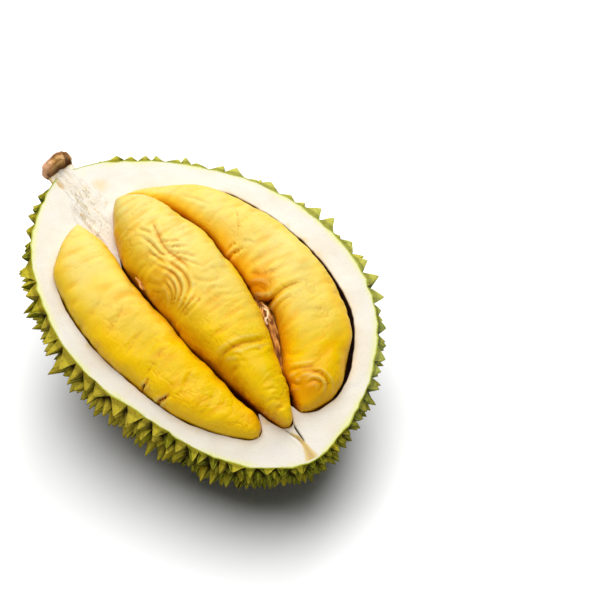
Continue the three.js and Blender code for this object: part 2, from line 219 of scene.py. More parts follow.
def spiny_skin():
    """Each spine is a stout cone over its cell. A side of it is a grid: across runs along the cell edge, out
    runs from the tip to that edge. The height falls by seven tenths of a straight line and three of a cosine
    wave. Towards the tip the cell's shape turns into a circle of its mean reach, and low spines curl up."""
    feet = spine_feet()
    tips = spine_tips(feet)
    tail, head, first, last = cell_edges(feet)
    out = np.array([0, 0.1, 0.25, 0.45, 0.7, 1.0])[None, :, None, None]
    across = np.array([0, 0.5, 1.0])
    ways = unit(first[:, None] * (1 - across)[:, None] + last[:, None] * across[:, None])
    edge = on_skin(ways)
    edge[np.abs(edge) < 1e-4] = 0
    foot, tip = feet[tail][:, None, None], tips[tail][:, None, None]
    reach = edge[:, None] - foot
    length = np.linalg.norm(reach, axis=-1, keepdims=True)
    mean = (np.bincount(tail, length.mean((1, 2, 3))) / np.bincount(tail))[tail][:, None, None, None]
    reach = reach * (1 + SPINE_ROUNDNESS * (1 - out) ** 0.5 * (mean / length - 1))
    rise = (1 - out) * 0.7 + (1 + np.cos(np.pi * out)) * 0.15
    points = foot + out * reach + rise * (tip - foot)
    size = np.linalg.norm(tip - foot, axis=-1, keepdims=True)
    curl = rise * (1 - rise) * size * (-foot[..., 2:] / FRUIT_DEPTH) ** 0.5
    points = points + np.array([0, 0, SPINE_CURL]) * curl
    points[..., 2] = np.minimum(points[..., 2], 0)
    side = unit(np.cross(edge[:, 2] - tips[tail], edge[:, 0] - tips[tail]))
    # How far each side faces up as the half lies: the finish paints light on sides facing up, shade on those
    # facing down.
    upward = side @ LYING_TURN[2] * np.sign((side * feet[tail]).sum(-1))
    count, rows, cols = points.shape[:3]
    start = np.arange(count)[:, None, None] * rows * cols
    row, col = np.meshgrid(np.arange(rows - 1), np.arange(cols - 1), indexing="ij")
    a = start + row * cols + col
    quads = np.stack([a, a + cols, a + cols + 1, a + 1], -1).reshape(-1, 4)
    draw = np.random.default_rng(SPINE_SEED)
    draws = 0.6 * draw.uniform(size=SPINE_COUNT) + 0.6 * np.clip(1 - ((feet[:, 0] + 5) / 75) ** 2, -0.3, 1)
    # Painted shade: the lower a spine sits on the back, the lower its tone, so the greener and darker it is.
    draws = draws - 0.4 * np.clip((-feet[:, 2] - 12) / 40, 0, 1)
    shade = draw.uniform(-0.18, 0.18, len(tail))
    # Painted light: the spines on the far side near the rim are paled, as if washed by light.
    pale = np.clip((feet[:, 1] - 10) / 40, 0, 1) * np.clip(1 + feet[:, 2] / 25, 0, 1)
    shape = points.shape[:3]
    marks = {
        # Tip runs from 1 at a spine's tip to 0 at its feet; rim points take 0.3 and so part of the painted
        # valley shade.
        "tip": np.where(points[..., 2] > -0.1, 0.3, np.broadcast_to(1 - out[..., 0], shape)).ravel(),
        "ridge": np.broadcast_to(np.abs(2 * across - 1), shape).ravel(),
        "tone": np.broadcast_to((draws[tail] + shade)[:, None, None], shape).ravel(),
        "cut": np.zeros(count * rows * cols),
        "upward": np.broadcast_to(0.5 + 0.5 * upward[:, None, None], shape).ravel(),
        "pale": np.broadcast_to(pale[tail][:, None, None], shape).ravel(),
    }
    on_rim = head == tail + SPINE_COUNT
    angle = np.arctan2(edge[on_rim][..., 1], edge[on_rim][..., 0]).ravel()
    return points.reshape(-1, 3), quads, marks, np.unique(np.round(angle, 9))


def swell(points, length, seed):
    """Soft random relief of about unit height: twenty sine waves near that length, each its own way."""
    draw = np.random.default_rng(seed)
    ways = unit(draw.normal(size=(20, points.shape[-1])))
    waves = ways * draw.uniform(0.6, 1.5, (20, 1)) * 2 * np.pi / length
    return np.sin(points @ waves.T + draw.uniform(0, 2 * np.pi, 20)).sum(-1) / np.sqrt(10)


def cut_rim(angle):
    """The inner side of the skin: a flat strip at the cut whose inner edge dips under the pith, then
    meridians of the inner egg down to its lowest point."""
    inset = np.array([0, 0.5, 1.1, 1.8] + [RIND_THICKNESS] * 6)[:, None]
    dip = np.radians([0, 0, 0, 0, 0, 8, 25, 45, 65, 90])[:, None]
    level = np.cos(dip) * np.ones_like(angle)
    ways = np.stack([level * np.cos(angle), level * np.sin(angle), -np.sin(dip) * np.ones_like(angle)], -1)
    points = on_skin(ways, inset)
    points[3:5, :, 2] -= np.array([0.04, 0.3])[:, None]
    rows, cols = points.shape[:2]
    row, col = np.meshgrid(np.arange(rows - 1), np.arange(cols), indexing="ij")
    a, b = row * cols + col, row * cols + (col + 1) % cols
    quads = np.stack([a, b, b + cols, a + cols], -1).reshape(-1, 4)
    cut = np.broadcast_to(np.minimum(inset / RIND_THICKNESS, 1), (rows, cols)).ravel()
    # The cut strip counts as facing up, so it takes the painted light of the upward sides.
    plain = {"tip": 0.3, "ridge": 0.0, "tone": 0.5, "upward": 1.0, "pale": 0.0}
    marks = {name: np.full_like(cut, value) for name, value in plain.items()}
    return points.reshape(-1, 3), quads, {"cut": cut, **marks}


def welded(points, faces, marks, grain=0.002):
    """Points that fall on the same cell of a fine lattice become one point."""
    _, kept, index = np.unique(np.round(points / grain), axis=0, return_index=True, return_inverse=True)
    return points[kept], index.ravel()[faces], {name: values[kept] for name, values in marks.items()}


def mesh_piece(name, points, faces, marks, material, crease=None):
    """A piece from points in the fruit's frame: faces that repeat a corner lose it, the faces are turned to
    point outwards by the sign of the volume, and each mark becomes a value on the points."""
    points = lying(points) / 1000
    three, four = faces[:, :3], faces[:, [0, 2, 3]]
    a, b, c = (points[np.concatenate([three, four])[:, k]] for k in range(3))
    if (a * np.cross(b, c)).sum() < 0:
        faces = faces[:, ::-1]
    fresh = faces != np.roll(faces, 1, axis=1)
    whole = fresh.all(1)
    threes = faces[~whole & (fresh.sum(1) == 3)]
    threes = threes[fresh[~whole & (fresh.sum(1) == 3)]].reshape(-1, 3)
    mesh = bpy.data.meshes.new(name)
    mesh.from_pydata(points.tolist(), [], faces[whole].tolist() + threes.tolist(), shade_flat=False)
    for mark, values in marks.items():
        mesh.attributes.new(mark, "FLOAT", "POINT").data.foreach_set("value", values.astype(np.float32))
    if crease:
        mesh.set_sharp_from_angle(angle=np.radians(crease))
    mesh.materials.append(material)
    piece = bpy.data.objects.new(name, mesh)
    bpy.context.scene.collection.objects.link(piece)
    return piece


def tint(red, green, blue):
    """A colour given in the 0 to 255 steps of a screen, as the linear light that a shader takes."""
    share = np.array([red, green, blue]) / 255
    light = np.where(share < 0.04045, share / 12.92, ((share + 0.055) / 1.055) ** 2.4)
    return (*light.tolist(), 1.0)


def add(tree, kind, feeds=None, **settings):
    """A node with its settings, each socket fed by a value or by another node's output."""
    made = tree.nodes.new("ShaderNode" + kind)
    for key, value in settings.items():
        setattr(made, key, value)
    for socket, value in (feeds or {}).items():
        if isinstance(value, bpy.types.NodeSocket):
            tree.links.new(value, made.inputs[socket])
        else:
            made.inputs[socket].default_value = value
    return made


def mixed(share, under, over):
    """The under colour with the over colour laid on it by a share."""
    return add(share.id_data, "Mix", {0: share, 6: under, 7: over}, data_type="RGBA").outputs[2]


def coated(colour, *coats):
    """A colour with coats laid on it in turn, each a share and a colour in screen steps."""
    for share, over in coats:
        colour = mixed(share, colour, tint(*over))
    return colour


def between(value, low, high, end=1.0):
    """A value eased from nought at its low mark to the end at its high mark."""
    feeds = {"Value": value, "From Min": low, "From Max": high, "To Max": end}
    return add(value.id_data, "MapRange", feeds, interpolation_type="SMOOTHSTEP").outputs["Result"]


def times(one, other, way="MULTIPLY"):
    """A value joined to another value or a number by arithmetic."""
    return add(one.id_data, "Math", {0: one, 1: other}, operation=way).outputs[0]


def marks_of(tree, *names):
    """The values that the mesh carries under those names."""
    return [add(tree, "Attribute", attribute_name=name).outputs["Fac"] for name in names]


def mottle_group():
    """Patches and fine grain of living tissue: two noises of the object's own coordinates."""
    group = bpy.data.node_groups.new("tissue mottle", "ShaderNodeTree")
    for name, value in (("Patch Scale", 40.0), ("Grain Scale", 400.0)):
        socket = group.interface.new_socket(name, in_out="INPUT", socket_type="NodeSocketFloat")
        socket.default_value = value
    for name in ("Patches", "Grain"):
        group.interface.new_socket(name, in_out="OUTPUT", socket_type="NodeSocketFloat")
    source, sink = group.nodes.new("NodeGroupInput"), group.nodes.new("NodeGroupOutput")
    place = add(group, "TexCoord").outputs["Object"]
    patch = {"Vector": place, "Scale": source.outputs["Patch Scale"], "Detail": 3.0, "Roughness": 0.55}
    grain = {"Vector": place, "Scale": source.outputs["Grain Scale"], "Detail": 4.0, "Roughness": 0.6}
    patch = add(group, "TexNoise", patch).outputs["Fac"]
    group.links.new(between(patch, 0.32, 0.68), sink.inputs["Patches"])
    group.links.new(add(group, "TexNoise", grain).outputs["Fac"], sink.inputs["Grain"])
    return group


tissue_mottle = mottle_group()


def tissue(name, patch_scale, grain_scale):
    """A new material: its tree, its shader, and the patches and grain of its tissue."""
    material = bpy.data.materials.new(name)
    material.use_nodes = True
    tree = material.node_tree
    mottle = add(tree, "Group", node_tree=tissue_mottle)
    mottle.inputs["Patch Scale"].default_value = patch_scale
    mottle.inputs["Grain Scale"].default_value = grain_scale
    shader = tree.nodes["Principled BSDF"]
    return material, tree, shader, mottle.outputs["Patches"], mottle.outputs["Grain"]


def lay(shader, colour, roughness, gloss, height, depth):
    """Colour, roughness, gloss and a bump of that depth in metres, put on the shader."""
    tree = shader.id_data
    shader.inputs["Specular IOR Level"].default_value = gloss
    tree.links.new(colour, shader.inputs["Base Color"])
    tree.links.new(roughness, shader.inputs["Roughness"])
    bump = add(tree, "Bump", {"Height": height, "Strength": 1.0, "Distance": depth})
    tree.links.new(bump.outputs["Normal"], shader.inputs["Normal"])


def rind_finish():
    """Painted shade in the valleys, olive and green sides, painted light on the sides facing up and on the
    far spines by the rim, painted shade on the sides facing down and on the low spines, painted highlights on
    the ridges, brown points, and lime to cream over the cut.
    """
    material, tree, shader, patches, grain = tissue("durian rind", 45, 700)
    tip, ridge, tone, cut, lit, pale = marks_of(tree, "tip", "ridge", "tone", "cut", "upward", "pale")
    side = coated(
        tint(126, 130, 8),
        (patches, (158, 134, 22)),
        (between(tone, 0.5, 0.85, 0.75), (200, 176, 56)),
        (between(tone, 0.5, 0.15, 0.9), (54, 76, 2)),
        # Painted light on the sides that face up, painted shade on the sides that face down.
        (between(lit, 0.6, 0.9, 0.6), (208, 192, 54)),
        (between(lit, 0.66, 0.3, 0.9), (42, 46, 1)),
        # Painted light: the far spines by the rim turn pale green.
        (times(pale, 0.6), (176, 190, 104)),
    )
    colour = coated(
        # Painted shade: near black-brown in the valleys at the feet of the spines.
        mixed(between(tip, 0.05, 0.5), tint(42, 26, 2), side),
        # Painted highlights: paler along the ridges of each spine, away from its foot.
        (times(between(ridge, 0.5, 1.0, 0.6), between(tip, 0.2, 0.6)), (208, 196, 66)),
        (between(tip, 0.82, 1.0, 0.85), (74, 44, 16)),
        (between(grain, 0.5, 0.7, 0.5), (68, 58, 6)),
        (between(cut, 0.0, 0.08), (160, 166, 50)),
    )
    flesh = coated(
        tint(216, 211, 201),
        (patches, (212, 204, 188)),
        (between(patches, -0.3, 0.9, 0.6), (212, 216, 126)),
    )
    depth = times(cut, times(grain, 0.2, "ADD"))
    colour = mixed(between(depth, 0.06, 0.32), colour, flesh)
    lay(shader, colour, between(grain, -0.8, 0.6, 0.9), 0.05, grain, 0.0003)
    return material


skin_points, skin_faces, skin_marks, rim_angle = spiny_skin()
rim_points, rim_faces, rim_marks = cut_rim(rim_angle)
skin_faces = np.concatenate([skin_faces, rim_faces + len(skin_points)])
skin_marks = {name: np.concatenate([skin_marks[name], rim_marks[name]]) for name in skin_marks}
skin_points = np.concatenate([skin_points, rim_points])
skin_points, skin_faces, skin_marks = welded(skin_points, skin_faces, skin_marks)
wobble = 0.35 * swell(skin_points, 11, 3) + 0.2 * swell(skin_points, 5, 4)
wobble = wobble * np.exp(skin_points[:, 2] / 3) * (1 - skin_marks["cut"])
skin_points[:, :2] += unit(skin_points[:, :2] + 1e-6) * wobble[:, None]
above_table = np.maximum(0, -lying(skin_points)[:, 2:])
skin_points = skin_points + above_table * LYING_TURN[2]
rind = mesh_piece("rind_skin", skin_points, skin_faces, skin_marks, rind_finish(), crease=32)
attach(rind, "root")
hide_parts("rind")


# Pith: the thick white spongy wall inside the skin, sliced flat by the knife. It opens into the hollows
# where the flesh pods lie. The edge of the opening is soft; below it the hollow's wall is brownish, and
# painted dark brown as shade.
POD_LEFT = (
    (-82, -30, -82, -30), (-78, -42, -73, -28), (-66, -57, -58, -26.5), (-45, -65.5, -40, -28),
    (-15, -67.5, -10, -27.6), (20, -63, 20, -27.2), (47, -55.5, 46, -25.4), (66, -44.5, 63, -23.2),
    (75, -37, 72.5, -22.4), (79.5, -32.5, 78.5, -25), (81, -28.8, 81, -28.8),
)
POD_MIDDLE = (
    (-80, -5, -80, -5), (-72, -12.5, -71, 7), (-58, -20.5, -57, 16), (-42, -25.5, -38, 20),
    (-15, -26, -12, 21.3), (15, -26, 16, 18.5), (40, -23.5, 42, 11), (61, -20.5, 62, 2.8),
    (72, -18.6, 72, -1.5), (80, -16.6, 80.5, -5.8), (84.5, -14.8, 85.6, -9.4), (86.6, -12, 86.6, -12),
)
POD_RIGHT = (
    (-82, 3, -82, 3), (-71, 9, -74, 21), (-57, 18, -61, 39), (-38, 22.5, -45, 51), (-12, 23.8, -18, 61),
    (8, 22.5, 14, 65), (18, 22.8, 27, 64.2), (24, 25, 35, 62.8), (33, 22.3, 48, 59.5), (43, 16.5, 58, 55),
    (54, 9.5, 68, 47), (67, 3, 80.5, 33), (74.5, -0.2, 86.4, 21), (78.5, -1.5, 87.6, 10.8),
    (81.5, -1.6, 86.2, 3.6), (83.6, -0.8, 83.6, -0.8),
)
POD_GAP = 0.4
RIGHT_GAP = 2.6
OPENING_EDGE = 0.8
BOWL_DEPTH = 48.0
PITH_TURNS = 1500
PITH_RIM_INSET = 1.5
PITH_BACK_INSET = 2.9
APEX_CRACK = (
    (1.4, 0.5, ((85.2, -8.3), (88.5, -9.3), (91, -9.7), (95.5, -10.1), (99.5, -10.6))),
    (0.7, 0.8, ((82.5, -15.4), (87, -14.4), (91, -13.4), (95.4, -12.4), (101, -12.8))),
)
STAINS = (
    (-96.0, -4.8, 6.0), (-11.0, 66.0, 2.6), (2.0, 68.0, 2.6), (14.0, 68.5, 2.6), (-18.0, -69.5, 2.0),
    (76.0, -19.5, 3.5),
)
GREEN_PATCH = (-110.0, -7.6, 4.0)
LIME_REACH = 1.8
SUTURE = ((90.0, -13.2, 0.4), (95.5, -11.5, 1.0), (101.0, -11.8, 1.6), (108.5, -13.4, 3.6))


def smooth_line(points, share):
    """Centripetal Catmull-Rom curve through the points: the knots are the square roots of the chords, the
    slope at a point is read across its neighbours, and the ends go on straight."""
    points = np.asarray(points, float)
    padded = np.concatenate([[2 * points[0] - points[1]], points, [2 * points[-1] - points[-2]]])
    place = np.clip(share, 0, 1) * (len(points) - 1)
    span = np.minimum(place.astype(int), len(points) - 2)
    t = (place - span)[:, None]
    before, start, end, after = (padded[span + k] for k in range(4))
    knots = np.maximum(np.sqrt(np.linalg.norm(np.diff(padded, axis=0), axis=-1)), 1e-4)
    k0, k1, k2 = (knots[span + k][:, None] for k in range(3))
    leave = ((start - before) / k0 - (end - before) / (k0 + k1) + (end - start) / k1) * k1
    reach = ((end - start) / k1 - (after - start) / (k1 + k2) + (after - end) / k2) * k1
    return start + leave * t + (3 * (end - start) - 2 * leave - reach) * t ** 2 + (
        2 * (start - end) + leave + reach) * t ** 3


def opening(angle):
    """Radius of the opening: the furthest pod edge in each direction, each edge first moved out by its gap,
    then eased round the circle with a narrow bell."""
    share = np.linspace(0, 1, 2400)
    reach = np.zeros_like(angle)
    for ribs, wide in ((POD_LEFT, 0), (POD_MIDDLE, 0), (POD_RIGHT, RIGHT_GAP)):
        ribs = np.array(ribs, float)
        near, far = smooth_line(ribs[:, :2], share), smooth_line(ribs[:, 2:], share)
        way = (far - near) / np.maximum(np.linalg.norm(far - near, axis=-1, keepdims=True), 1)
        swing = np.sin(np.pi * share[:, None]) ** 0.6
        for line in (near - way * POD_GAP, far + way * (POD_GAP + wide * swing)):
            turn = np.arctan2(line[:, 1], line[:, 0])
            close = np.abs((turn[None] - angle[:, None] + np.pi) % (2 * np.pi) - np.pi) < 0.0045
            reach = np.maximum(reach, np.where(close, np.linalg.norm(line, axis=-1)[None], 0).max(1))
    bell = np.exp(-0.5 * (np.arange(-9, 10) / 1.6) ** 2)
    return np.convolve(np.concatenate([reach[-9:], reach, reach[:9]]), bell / bell.sum(), "valid")


def creased(points, creases):
    """Depth of the creases at each point and how far into one it lies: each crease is a smooth line with a
    sharp groove of its own depth and width and a puffed shoulder at two widths, faded at its ends."""
    depth = np.zeros(points.shape[:-1])
    dark = np.zeros(points.shape[:-1])
    for deep, wide, line in creases:
        line = smooth_line(line, np.linspace(0, 1, 14))
        step = np.diff(line, axis=0)
        from_start = points[..., None, :2] - line[:-1]
        share = np.clip((from_start * step).sum(-1) / (step ** 2).sum(-1), 0, 1)
        gap = np.linalg.norm(from_start - share[..., None] * step, axis=-1)
        nearest = gap.argmin(-1)
        along = (nearest + np.take_along_axis(share, nearest[..., None], -1)[..., 0]) / len(step)
        gap = gap.min(-1) / wide
        fade = np.clip(5 * along * (1 - along), 0, 1) ** 0.8
        groove = np.exp(-1.3 * gap) * fade
        depth += deep * (0.4 * np.exp(-(gap - 2) ** 2) * fade - groove)
        # The groove's strength, which the finishes paint as shade in the crease.
        dark = np.maximum(dark, groove * deep)
    return depth, dark


def spot(points, x, y, reach):
    """A bell-shaped spot round a place on the cut face, one at its middle."""
    return np.exp(-((points[..., :2] - (x, y)) ** 2).sum(-1) / reach ** 2)


def round_grid(grid, marks):
    """A grid of rows that run round a piece, its first and last rows shrunk to a point: the points, the
    quads between the rows and the closing faces at both ends, with a mark for each point."""
    rows, cols = grid.shape[:2]
    row, col = np.meshgrid(np.arange(rows - 1), np.arange(cols), indexing="ij")
    number = np.arange(rows * cols).reshape(rows, cols)
    number[0], number[-1] = number[0, 0], number[-1, 0]
    after = np.roll(number, -1, axis=1)
    faces = np.stack([number[row, col], after[row, col], after[row + 1, col], number[row + 1, col]], -1)
    used, index = np.unique(faces.reshape(-1, 4), return_inverse=True)
    flat = {name: np.broadcast_to(values, (rows, cols)).ravel()[used] for name, values in marks.items()}
    return grid.reshape(-1, 3)[used], index.reshape(-1, 4), flat


def pith_wall():
    """A profile carried round the fruit: up the back inside the skin, across the cut face, round the edge
    of the opening by a quarter circle, and down the hollow along an ellipse to its lowest point."""
    angle = np.linspace(-np.pi, np.pi, PITH_TURNS, endpoint=False)
    way = np.stack([np.cos(angle), np.sin(angle)], -1)
    rim = outline(angle) - PITH_RIM_INSET
    mouth = opening(angle)
    mouth = mouth + 0.18 * swell(mouth[:, None] * way, 16, 7) + 0.06 * swell(mouth[:, None] * way, 6, 8)
    dip = np.radians([90, 75, 58, 40, 22, 8])[:, None]
    back_radius = (rim - (PITH_BACK_INSET - PITH_RIM_INSET)) * np.cos(dip)
    back_level = -(FRUIT_DEPTH - PITH_BACK_INSET) * np.sin(dip) * np.ones_like(rim)
    share = np.linspace(0, 1, 34)[:, None]
    face_radius = rim + (mouth + OPENING_EDGE - rim) * share
    face = np.concatenate([face_radius[..., None] * way, np.zeros((*face_radius.shape, 1))], -1)
    relief = 0.22 * swell(face, 30, 5) + 0.06 * swell(face, 9, 6)
    slit, dark = creased(face, APEX_CRACK)
    seam = smooth_line(SUTURE, np.linspace(0, 1, 60))
    aside = np.linalg.norm(face[..., None, :2] - seam[:, :2], axis=-1)
    nearest = aside.argmin(-1)
    tan = np.exp(-(aside.min(-1) / seam[nearest, 2]) ** 2)
    stain = sum(spot(face, *place) for place in STAINS)
    lime = np.maximum(spot(face, *GREEN_PATCH), np.exp(-(rim - face_radius) / LIME_REACH))
    face_level = (relief + 0.2 * tan + slit) * np.minimum(1, 2 * share) - 0.02 * (share == 0)
    bend = np.radians([20, 42, 66, 90])[:, None]
    edge_radius = mouth + OPENING_EDGE * (1 - np.sin(bend))
    edge_level = face_level[-1] - 1.3 * OPENING_EDGE * (1 - np.cos(bend))
    fall = np.radians([3, 7, 12, 20, 32, 46, 62, 78, 90])[:, None]
    bowl_radius, bowl_level = mouth * np.cos(fall), edge_level[-1] - BOWL_DEPTH * np.sin(fall)
    bowl_level[-1] = bowl_level[-1].mean()
    radius = np.concatenate([back_radius, face_radius, edge_radius, bowl_radius])
    level = np.concatenate([back_level, face_level, edge_level, bowl_level])
    rows, first, last = len(radius), len(dip), len(dip) + len(share)
    ease = [0.05, 0.15, 0.35, 0.6, 0.8]
    # Inside runs from nought at the opening's edge to one down the hollow, where the finish paints shade.
    inside = np.concatenate([np.zeros(last), ease, np.ones(rows - last - len(ease))])[:, None]
    near = np.exp(-np.maximum(radius - mouth, 0) / 3.5) * (np.arange(rows) >= first)[:, None]
    on_face = np.zeros((4, rows, PITH_TURNS))
    on_face[:, first:last] = tan, dark, stain, lime
    grid = np.concatenate([radius[..., None] * way, level[..., None]], -1)
    marks = dict(zip(("tan", "crack", "stain", "lime"), on_face))
    return round_grid(grid, {"inside": inside, "near": near, **marks})


def pith_finish():
    """Creamy white sponge, greener by the skin, tan in spots and near the opening, with painted shade that
    turns it dark down the hollow and in the cracks.
    """
    material, tree, shader, patches, grain = tissue("durian pith", 45, 900)
    inside, near, lime = marks_of(tree, "inside", "near", "lime")
    tan, stain, crack = marks_of(tree, "tan", "stain", "crack")
    colour = coated(
        tint(216, 211, 201),
        (patches, (212, 204, 188)),
        (between(grain, 0.5, 0.8, 0.35), (204, 194, 172)),
        (times(between(lime, 0.1, 1.0), between(patches, -0.3, 0.9, 0.6)), (212, 216, 126)),
        (times(between(near, 0.2, 1.0, 0.6), patches), (214, 190, 152)),
        (times(between(stain, 0.2, 1.0, 0.8), grain), (216, 180, 90)),
        (between(tan, 0.05, 0.6, 0.8), (202, 172, 84)),
        (times(between(tan, 0.6, 1.0, 0.7), grain), (160, 106, 34)),
        # Painted shade: the brownish hollow wall darkened to dark brown below the edge.
        (between(inside, 0.05, 0.75), (52, 22, 5)),
        # Painted shade: dark in the cracks.
        (between(crack, 0.25, 0.8), (52, 36, 12)),
    )
    lay(shader, colour, between(grain, -0.6, 0.5, 0.85), 0.25, grain, 0.0003)
    return material


pith_material = pith_finish()
pith = mesh_piece("pith_wall", *pith_wall(), pith_material, crease=40)
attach(pith, "root")
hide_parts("pith")


# Core: the fibrous middle of the fruit, which runs in from the stem and fans out between the pods. It is
# the same white tissue, but stringy, so that it is left ragged by the knife.
CORE = (
    (-118, -16.5, -118, -16.5), (-115, -22, -115, -11), (-107, -24, -107, -9), (-97, -26, -95, -6),
    (-84, -29, -79, -8), (-70, -28, -66, -16), (-57, -27, -55, -21.5), (-44, -27, -44, -27),
)
CORE_RISE = 1.4
CORE_SINK = 12.0


def lofted(ribs, level, rise, sink, stations, turn):
    """A pod-like body: two edge curves run through the ends of the ribs, and at each station a rounded
    section stands on the line between them, as tall as the 0.55 power of its width."""
    ribs = np.array(ribs, float)
    step = np.linspace(0, 1, stations)
    share = step - 0.4 * np.sin(2 * np.pi * step) / (2 * np.pi)
    near, far = smooth_line(ribs[:, :2], share), smooth_line(ribs[:, 2:], share)
    width = np.linalg.norm(far - near, axis=-1)
    tall = (width / width.max()) ** 0.55
    across = np.sign(np.cos(turn)) * np.abs(np.cos(turn)) ** 0.85
    up = np.sign(np.sin(turn)) * np.abs(np.sin(turn)) ** 0.9
    flat = near[:, None] + (far - near)[:, None] * ((1 - across) / 2)[:, None]
    height = level + tall[:, None] * np.where(up > 0, rise, sink) * up
    return np.concatenate([flat, height[..., None]], -1)


def core_ridge():
    """The core's loft with its flanks eased into the face, roughened by ridges that follow its length. The
    skin mark is the tan edge of the neck towards -Y."""
    grid = lofted(CORE, 0, CORE_RISE, CORE_SINK, 120, np.linspace(0, 2 * np.pi, 96, endpoint=False))
    string = swell(grid * [0.12, 1, 1], 2.6, 21)
    top = np.maximum(grid[..., 2], 0) / CORE_RISE
    relief = 0.16 * string + 0.2 * swell(grid, 9, 22)
    raised = CORE_RISE * top ** 4 + relief * np.minimum(1, 2 * top ** 2)
    grid[..., 2] = np.where(top > 0, raised, grid[..., 2])
    grid[0], grid[-1] = grid[0, 0], grid[-1, 0]
    skin = np.clip((-20.3 - grid[..., 1]) / 1.6, 0, 1) * np.clip((-105 - grid[..., 0]) / 3, 0, 1)
    return round_grid(grid, {"string": string * 0.3 + 0.5, "skin": skin})


def core_finish():
    """Cream strings with faint tan hollows between them and a tan edge along the neck."""
    material, tree, shader, patches, grain = tissue("durian core", 90, 900)
    string, skin = marks_of(tree, "string", "skin")
    colour = coated(
        tint(216, 210, 200),
        (patches, (212, 203, 186)),
        (between(string, 0.42, 0.0, 0.35), (202, 178, 136)),
        (between(grain, 0.58, 0.72, 0.45), (184, 166, 116)),
        (times(skin, between(patches, -0.6, 0.9, 0.8)), (196, 160, 96)),
    )
    lay(shader, colour, between(grain, -0.6, 0.5, 0.8), 0.2, grain, 0.0006)
    return material


core = mesh_piece("core_strings", *core_ridge(), core_finish())
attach(core, "root")
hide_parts("pith")


# Loose fibres: strings of the core and of the thin walls that parted the pods. The walls tore when the
# fruit was opened, and left cream strands over a brown mat in the notch beside the middle pod.
FIBRE_MAT = (
    (13, 20.5, 13, 20.5), (17, 18.4, 17, 23.2), (24, 16.6, 24, 24.8), (33, 14, 33, 22.4),
    (43, 11, 43, 16.8), (54, 6.8, 54, 9.6), (62, 4.2, 62, 4.2),
)
FIBRE_BEDS = (
    (8, (21, 21.8, 4.4), (10, 9, 1.2), (8, -3.0, -1.0), 1.1, 0.75),
    (6, (-34, -26.3, 8.0), (5, 0, 2), (6, -0.2, -0.6), 0.5, 0.5),
    (120, (-101, -16.5, 1.4), (46, 26, 0.4), (6, -1.2, -0.3), 0.8, 0.18),
)


def fibres():
    """Strings of each bed: a bed holds their number, the middle line's start, its spread, the way a string
    runs, its arch and its half thickness. A string is a parabola with a six-sided section that thins to its
    ends."""
    draw = np.random.default_rng(77)
    share = np.linspace(0, 1, 9)[:, None]
    arc = 4 * share * (1 - share)
    turn = np.linspace(0, 2 * np.pi, 6, endpoint=False)[:, None]
    grids, tones = [], []
    for bed, (count, start, spread, way, arch, thick) in enumerate(FIBRE_BEDS):
        place = draw.uniform(-0.5, 0.5, (count, 1, 3))
        along = draw.uniform(0, 1, (count, 1, 1))
        first = np.array(start) + along * np.array(way) / way[0] * spread[0]
        first = first + place * [0, 0.4, 1] * np.array(spread)
        run = np.array(way) * draw.uniform(0.5, 1.2, (count, 1, 1)) + draw.normal(size=(count, 1, 3)) * arch
        sway = draw.normal(size=(count, 1, 3)) * [0.7, 0.7, 0.3] + [0, 0, 0.6]
        line = first + run * share + arc * sway * arch
        line = line + 0.5 * arch * np.sin(share * 7 + draw.uniform(0, 6, (count, 1, 3)))
        ahead = unit(np.gradient(line, axis=1))
        aside = unit(np.cross(ahead, [0, 0, 1.0]))
        radius = thick * draw.uniform(0.5, 1.4, (count, 1, 1)) * arc ** 0.4
        ring = np.cos(turn) * aside[:, :, None] + np.sin(turn) * np.cross(aside, ahead)[:, :, None]
        grids.append(line[:, :, None] + radius[..., None] * ring)
        tone = draw.uniform(0, 0.5, (count, 1, 1)) * (bed != 1) + 0.5 * (bed > 0)
        tones.append(np.broadcast_to(tone, (count, len(share), len(turn))))
    grid, tone = np.concatenate(grids), np.concatenate(tones)
    number = np.arange(grid[..., 0].size).reshape(grid.shape[:3])
    number[:, 0], number[:, -1] = number[:, 0, :1], number[:, -1, :1]
    after = np.roll(number, -1, axis=2)
    faces = np.stack([number[:, :-1], after[:, :-1], after[:, 1:], number[:, 1:]], -1).reshape(-1, 4)
    used, index = np.unique(faces, return_inverse=True)
    return grid.reshape(-1, 3)[used], index.reshape(-1, 4), {"tone": tone.ravel()[used]}


def fibre_mat():
    """The mat's loft, torn into strings by a relief that is drawn out along it."""
    grid = lofted(FIBRE_MAT, -1, 4, 14, 120, np.linspace(0, 2 * np.pi, 72, endpoint=False))
    turned = grid @ np.array([[0.92, -0.39, 0], [0.39, 0.92, 0], [0, 0, 1]]).T
    string = swell(turned * [0.3, 1, 1], 2.2, 71)
    grid[..., 2] += 0.6 * string * np.sin(np.pi * np.linspace(0, 1, 120))[:, None] ** 0.5
    grid[0], grid[-1] = grid[0, 0], grid[-1, 0]
    return round_grid(grid, {"tone": 2 + string * 0.25})


def fibre_finish():
    """Cream to orange strands, paler strings over the core and the brown mat, told apart by their tone."""
    material, tree, shader, _, grain = tissue("durian fibres", 150, 1500)
    tone = marks_of(tree, "tone")[0]
    colour = coated(
        tint(250, 228, 186),
        (between(tone, 0.0, 0.5), (226, 164, 84)),
        (between(tone, 0.505, 0.52), (240, 230, 208)),
        (between(tone, 0.7, 1.0), (206, 194, 146)),
    )
    mat = mixed(between(tone, 1.7, 2.4), tint(116, 62, 8), tint(198, 136, 56))
    colour = mixed(between(tone, 1.02, 1.05), colour, mat)
    lay(shader, colour, between(grain, -0.6, 0.6, 0.7), 0.35, grain, 0.0004)
    return material


fibre_material = fibre_finish()
for name, shape in (("loose_fibres", fibres()), ("fibre_mat", fibre_mat())):
    strings = mesh_piece(name, *shape, fibre_material)
    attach(strings, "root")
    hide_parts("pith")


